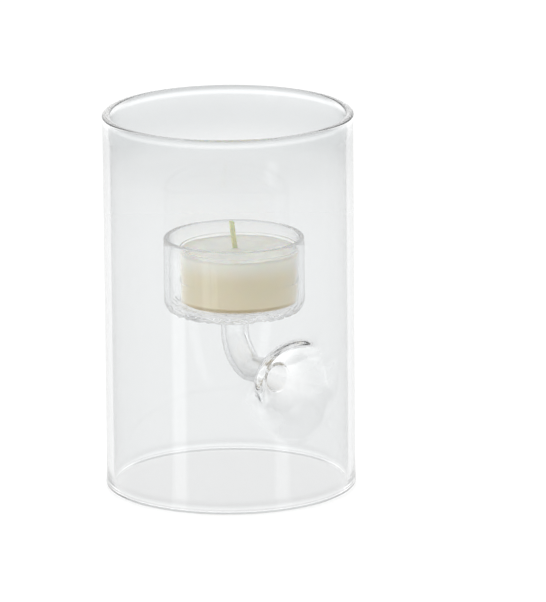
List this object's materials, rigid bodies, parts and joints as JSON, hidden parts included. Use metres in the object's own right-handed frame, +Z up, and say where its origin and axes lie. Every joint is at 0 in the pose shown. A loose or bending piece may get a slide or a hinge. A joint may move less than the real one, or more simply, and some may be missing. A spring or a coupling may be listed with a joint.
{
  "type": "tealight holder",
  "caption": "Clear glass cylinder with a candle cup hung inside on a hollow bent stem that flares into the wall, holding a lift-out tealight.",
  "frame": {"origin": "centre of the cylinder's base, on the surface it stands on", "axes": "+Z up along the cylinder's axis; the side mouth faces 33 degrees from -Y towards +X"},
  "size_m": [0.08, 0.08, 0.122],
  "materials": {
    "clear_glass": "clear, fire polished",
    "clear_shell": "clear, glossy",
    "candle_wax": "translucent cream wax, satin",
    "wick_cotton": "waxed braided cotton",
    "foot_metal": "tinned, thin pressed sheet"
  },
  "bodies": {
    "holder": {"glass_cylinder": "clear_glass", "stem_tube": "clear_glass", "candle_cup": "clear_glass"},
    "tealight": {"tealight_shell": "clear_shell", "wax": "candle_wax", "wick": "wick_cotton", "wick_sustainer": "foot_metal"}
  },
  "joints": [
    {"name": "tealight_lift", "type": "slide", "parent": "holder", "child": "tealight", "axis": [0, 0, 1], "range_m": [0, 0.07]}
  ]
}
